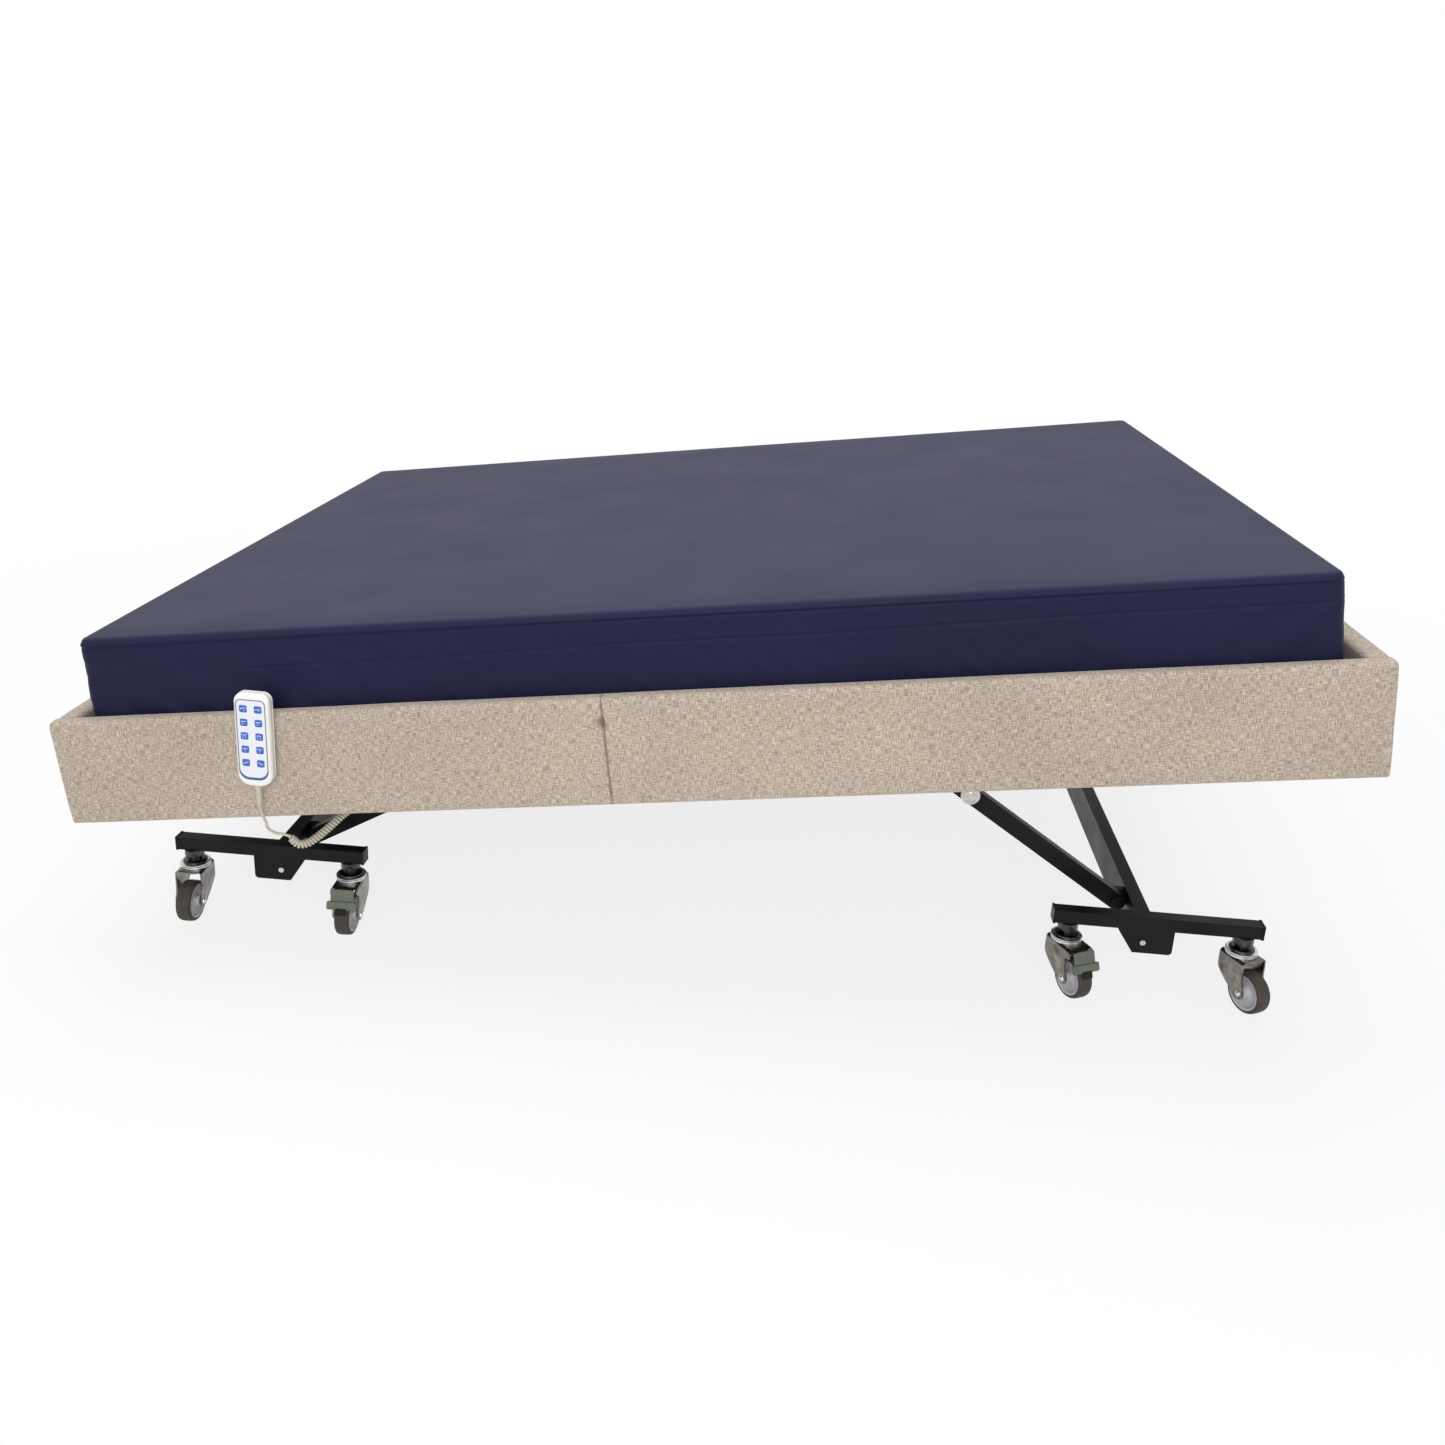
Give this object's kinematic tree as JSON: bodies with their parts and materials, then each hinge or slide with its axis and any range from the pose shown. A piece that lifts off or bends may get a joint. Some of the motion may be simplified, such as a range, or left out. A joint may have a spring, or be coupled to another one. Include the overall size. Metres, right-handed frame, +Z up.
{
  "type": "adjustable bed base",
  "caption": "Wide height-adjustable profiling bed: upholstered surround, folding deck and mattress, arms on castor carriages, hanging wired handset.",
  "frame": {"origin": "on the floor under the middle of the whole object", "axes": "+X runs to the foot end, the raised one, +Z is up, +Y is across, away from the side the handset hangs on"},
  "size_m": [2.1746, 1.6192, 0.8606],
  "materials": {
    "upholstery": "matte",
    "mattress_cover": "satin",
    "black_steel": "satin",
    "grey_steel": "satin",
    "motor_body": "matte",
    "zinc": "satin",
    "white_case": "satin",
    "blue_key": "satin",
    "beige_cord": "satin",
    "castor_tyre": "matte",
    "pedal": "satin"
  },
  "bodies": {
    "platform": {"surround_near": "upholstery", "surround_far": "upholstery", "surround_head": "upholstery", "surround_foot": "upholstery", "chassis_frame": "black_steel", "seat_deck": "grey_steel", "seat_mattress": "mattress_cover", "control_box": "motor_body", "actuator_housings": "motor_body", "handset_case": "white_case", "handset_keypad": "white_case", "handset_relief": "beige_cord", "handset_cord": "beige_cord", "handset_coil": "beige_cord"},
    "button_l1": {"button_l1": "blue_key"},
    "button_l2": {"button_l2": "blue_key"},
    "button_l3": {"button_l3": "blue_key"},
    "button_l4": {"button_l4": "blue_key"},
    "button_l5": {"button_l5": "blue_key"},
    "button_r1": {"button_r1": "blue_key"},
    "button_r2": {"button_r2": "blue_key"},
    "button_r3": {"button_r3": "blue_key"},
    "button_r4": {"button_r4": "blue_key"},
    "button_r5": {"button_r5": "blue_key"},
    "back_section": {"back_deck": "grey_steel", "back_mattress": "mattress_cover"},
    "thigh_section": {"thigh_deck": "grey_steel", "thigh_mattress": "mattress_cover"},
    "calf_section": {"calf_deck": "grey_steel", "calf_mattress": "mattress_cover"},
    "head_lift_rod": {"head_lift_rod": "zinc"},
    "foot_lift_rod": {"foot_lift_rod": "zinc"},
    "back_rod": {"back_rod": "zinc"},
    "leg_rod": {"leg_rod": "zinc"},
    "head_lift": {"head_arms": "black_steel"},
    "foot_lift": {"foot_arms": "black_steel"},
    "head_carriage": {"head_bogie": "black_steel", "head_bogie_bolts": "zinc"},
    "foot_carriage": {"foot_bogie": "black_steel", "foot_bogie_bolts": "zinc"},
    "castor_1": {"castor_fork_1": "zinc"},
    "wheel_1": {"castor_wheel_1": "castor_tyre"},
    "castor_2": {"castor_fork_2": "zinc"},
    "wheel_2": {"castor_wheel_2": "castor_tyre"},
    "pedal_1": {"brake_pedal_1": "pedal"},
    "castor_3": {"castor_fork_3": "zinc"},
    "wheel_3": {"castor_wheel_3": "castor_tyre"},
    "castor_4": {"castor_fork_4": "zinc"},
    "wheel_4": {"castor_wheel_4": "castor_tyre"},
    "pedal_2": {"brake_pedal_2": "pedal"},
    "castor_5": {"castor_fork_5": "zinc"},
    "wheel_5": {"castor_wheel_5": "castor_tyre"},
    "castor_6": {"castor_fork_6": "zinc"},
    "wheel_6": {"castor_wheel_6": "castor_tyre"},
    "pedal_3": {"brake_pedal_3": "pedal"},
    "castor_7": {"castor_fork_7": "zinc"},
    "wheel_7": {"castor_wheel_7": "castor_tyre"},
    "castor_8": {"castor_fork_8": "zinc"},
    "wheel_8": {"castor_wheel_8": "castor_tyre"},
    "pedal_4": {"brake_pedal_4": "pedal"}
  },
  "joints": [
    {"name": "press_l1", "type": "slide", "parent": "platform", "child": "button_l1", "axis": [0, 1, 0], "range_m": [0, 0.001], "stiffness_N_per_m": 300},
    {"name": "press_l2", "type": "slide", "parent": "platform", "child": "button_l2", "axis": [0, 1, 0], "range_m": [0, 0.001], "stiffness_N_per_m": 300},
    {"name": "press_l3", "type": "slide", "parent": "platform", "child": "button_l3", "axis": [0, 1, 0], "range_m": [0, 0.001], "stiffness_N_per_m": 300},
    {"name": "press_l4", "type": "slide", "parent": "platform", "child": "button_l4", "axis": [0, 1, 0], "range_m": [0, 0.001], "stiffness_N_per_m": 300},
    {"name": "press_l5", "type": "slide", "parent": "platform", "child": "button_l5", "axis": [0, 1, 0], "range_m": [0, 0.001], "stiffness_N_per_m": 300},
    {"name": "press_r1", "type": "slide", "parent": "platform", "child": "button_r1", "axis": [0, 1, 0], "range_m": [0, 0.001], "stiffness_N_per_m": 300},
    {"name": "press_r2", "type": "slide", "parent": "platform", "child": "button_r2", "axis": [0, 1, 0], "range_m": [0, 0.001], "stiffness_N_per_m": 300},
    {"name": "press_r3", "type": "slide", "parent": "platform", "child": "button_r3", "axis": [0, 1, 0], "range_m": [0, 0.001], "stiffness_N_per_m": 300},
    {"name": "press_r4", "type": "slide", "parent": "platform", "child": "button_r4", "axis": [0, 1, 0], "range_m": [0, 0.001], "stiffness_N_per_m": 300},
    {"name": "press_r5", "type": "slide", "parent": "platform", "child": "button_r5", "axis": [0, 1, 0], "range_m": [0, 0.001], "stiffness_N_per_m": 300},
    {"name": "back_raise", "type": "hinge", "parent": "platform", "child": "back_section", "pos_m": [-0.25429, 0.0146, 0.49527], "axis": [0, 1, 0], "range_deg": [0, 60]},
    {"name": "thigh_raise", "type": "hinge", "parent": "platform", "child": "thigh_section", "pos_m": [0.00374, 0.0146, 0.52722], "axis": [0, -1, 0], "range_deg": [0, 35]},
    {"name": "knee_bend", "type": "hinge", "parent": "thigh_section", "child": "calf_section", "pos_m": [0.34117, 0.0146, 0.569], "axis": [0, -1, 0], "range_deg": [-52.54, 0]},
    {"name": "head_lift_turn", "type": "hinge", "parent": "platform", "child": "head_lift", "pos_m": [-0.16241, 0.0146, 0.46937], "axis": [0, -1, 0], "range_deg": [-10.1, 23.9]},
    {"name": "foot_lift_turn", "type": "hinge", "parent": "platform", "child": "foot_lift", "pos_m": [0.23059, 0.0146, 0.51803], "axis": [0, 1, 0], "range_deg": [-29.06, 4.94]},
    {"name": "head_lift_travel", "type": "slide", "parent": "platform", "child": "head_lift_rod", "axis": [0.9924, 0, 0.1229], "range_m": [-0.01926, 0.04503]},
    {"name": "foot_lift_travel", "type": "slide", "parent": "platform", "child": "foot_lift_rod", "axis": [-0.9924, 0, -0.1229], "range_m": [-0.05467, 0.00963]},
    {"name": "back_travel", "type": "slide", "parent": "platform", "child": "back_rod", "axis": [-0.9924, 0, -0.1229], "range_m": [0, 0.1135]},
    {"name": "leg_travel", "type": "slide", "parent": "platform", "child": "leg_rod", "axis": [0.9924, 0, 0.1229], "range_m": [0, 0.06301]},
    {"name": "head_carriage_level", "type": "hinge", "parent": "head_lift", "child": "head_carriage", "pos_m": [-0.75274, 0.0146, 0.14], "axis": [0, -1, 0], "range_deg": [-24, 10.2]},
    {"name": "foot_carriage_level", "type": "hinge", "parent": "foot_lift", "child": "foot_carriage", "pos_m": [0.79101, 0.0146, 0.14], "axis": [0, 1, 0], "range_deg": [-5.04, 29.16]},
    {"name": "castor_swivel_1", "type": "hinge", "parent": "head_carriage", "child": "castor_1", "pos_m": [-0.96274, -0.5679, 0.101], "axis": [0, 0, 1], "continuous": true},
    {"name": "wheel_spin_1", "type": "hinge", "parent": "castor_1", "child": "wheel_1", "pos_m": [-0.96159, -0.60088, 0.039], "axis": [0.9994, 0.0349, 0], "continuous": true},
    {"name": "castor_swivel_2", "type": "hinge", "parent": "head_carriage", "child": "castor_2", "pos_m": [-0.65274, -0.5679, 0.101], "axis": [0, 0, 1], "continuous": true},
    {"name": "wheel_spin_2", "type": "hinge", "parent": "castor_2", "child": "wheel_2", "pos_m": [-0.65159, -0.60088, 0.039], "axis": [0.9994, 0.0349, 0], "continuous": true},
    {"name": "brake_tip_1", "type": "hinge", "parent": "castor_2", "child": "pedal_1", "pos_m": [-0.65128, -0.60987, 0.091], "axis": [-0.9994, -0.0349, 0], "range_deg": [0, 14]},
    {"name": "castor_swivel_3", "type": "hinge", "parent": "head_carriage", "child": "castor_3", "pos_m": [-0.96274, 0.5971, 0.101], "axis": [0, 0, 1], "continuous": true},
    {"name": "wheel_spin_3", "type": "hinge", "parent": "castor_3", "child": "wheel_3", "pos_m": [-0.96159, 0.56412, 0.039], "axis": [0.9994, 0.0349, 0], "continuous": true},
    {"name": "castor_swivel_4", "type": "hinge", "parent": "head_carriage", "child": "castor_4", "pos_m": [-0.65274, 0.5971, 0.101], "axis": [0, 0, 1], "continuous": true},
    {"name": "wheel_spin_4", "type": "hinge", "parent": "castor_4", "child": "wheel_4", "pos_m": [-0.65159, 0.56412, 0.039], "axis": [0.9994, 0.0349, 0], "continuous": true},
    {"name": "brake_tip_2", "type": "hinge", "parent": "castor_4", "child": "pedal_2", "pos_m": [-0.65128, 0.55513, 0.091], "axis": [-0.9994, -0.0349, 0], "range_deg": [0, 14]},
    {"name": "castor_swivel_5", "type": "hinge", "parent": "foot_carriage", "child": "castor_5", "pos_m": [1.00101, -0.5679, 0.101], "axis": [0, 0, 1], "continuous": true},
    {"name": "wheel_spin_5", "type": "hinge", "parent": "castor_5", "child": "wheel_5", "pos_m": [1.01599, -0.5973, 0.039], "axis": [0.891, 0.454, 0], "continuous": true},
    {"name": "castor_swivel_6", "type": "hinge", "parent": "foot_carriage", "child": "castor_6", "pos_m": [0.69101, -0.5679, 0.101], "axis": [0, 0, 1], "continuous": true},
    {"name": "wheel_spin_6", "type": "hinge", "parent": "castor_6", "child": "wheel_6", "pos_m": [0.70599, -0.5973, 0.039], "axis": [0.891, 0.454, 0], "continuous": true},
    {"name": "brake_tip_3", "type": "hinge", "parent": "castor_6", "child": "pedal_3", "pos_m": [0.71008, -0.60532, 0.091], "axis": [-0.891, -0.454, 0], "range_deg": [0, 14]},
    {"name": "castor_swivel_7", "type": "hinge", "parent": "foot_carriage", "child": "castor_7", "pos_m": [1.00101, 0.5971, 0.101], "axis": [0, 0, 1], "continuous": true},
    {"name": "wheel_spin_7", "type": "hinge", "parent": "castor_7", "child": "wheel_7", "pos_m": [1.01599, 0.5677, 0.039], "axis": [0.891, 0.454, 0], "continuous": true},
    {"name": "castor_swivel_8", "type": "hinge", "parent": "foot_carriage", "child": "castor_8", "pos_m": [0.69101, 0.5971, 0.101], "axis": [0, 0, 1], "continuous": true},
    {"name": "wheel_spin_8", "type": "hinge", "parent": "castor_8", "child": "wheel_8", "pos_m": [0.70599, 0.5677, 0.039], "axis": [0.891, 0.454, 0], "continuous": true},
    {"name": "brake_tip_4", "type": "hinge", "parent": "castor_8", "child": "pedal_4", "pos_m": [0.71008, 0.55968, 0.091], "axis": [-0.891, -0.454, 0], "range_deg": [0, 14]}
  ],
  "couplings": [
    {"joint": "knee_bend", "follows": "thigh_raise", "ratio": -1.4954},
    {"joint": "head_lift_travel", "follows": "head_lift_turn", "m_per_rad": 0.107},
    {"joint": "foot_lift_travel", "follows": "foot_lift_turn", "m_per_rad": 0.107},
    {"joint": "back_travel", "follows": "back_raise", "m_per_rad": 0.108},
    {"joint": "leg_travel", "follows": "thigh_raise", "m_per_rad": 0.1025},
    {"joint": "head_carriage_level", "follows": "head_lift_turn", "ratio": -1},
    {"joint": "foot_carriage_level", "follows": "foot_lift_turn", "ratio": -1}
  ]
}
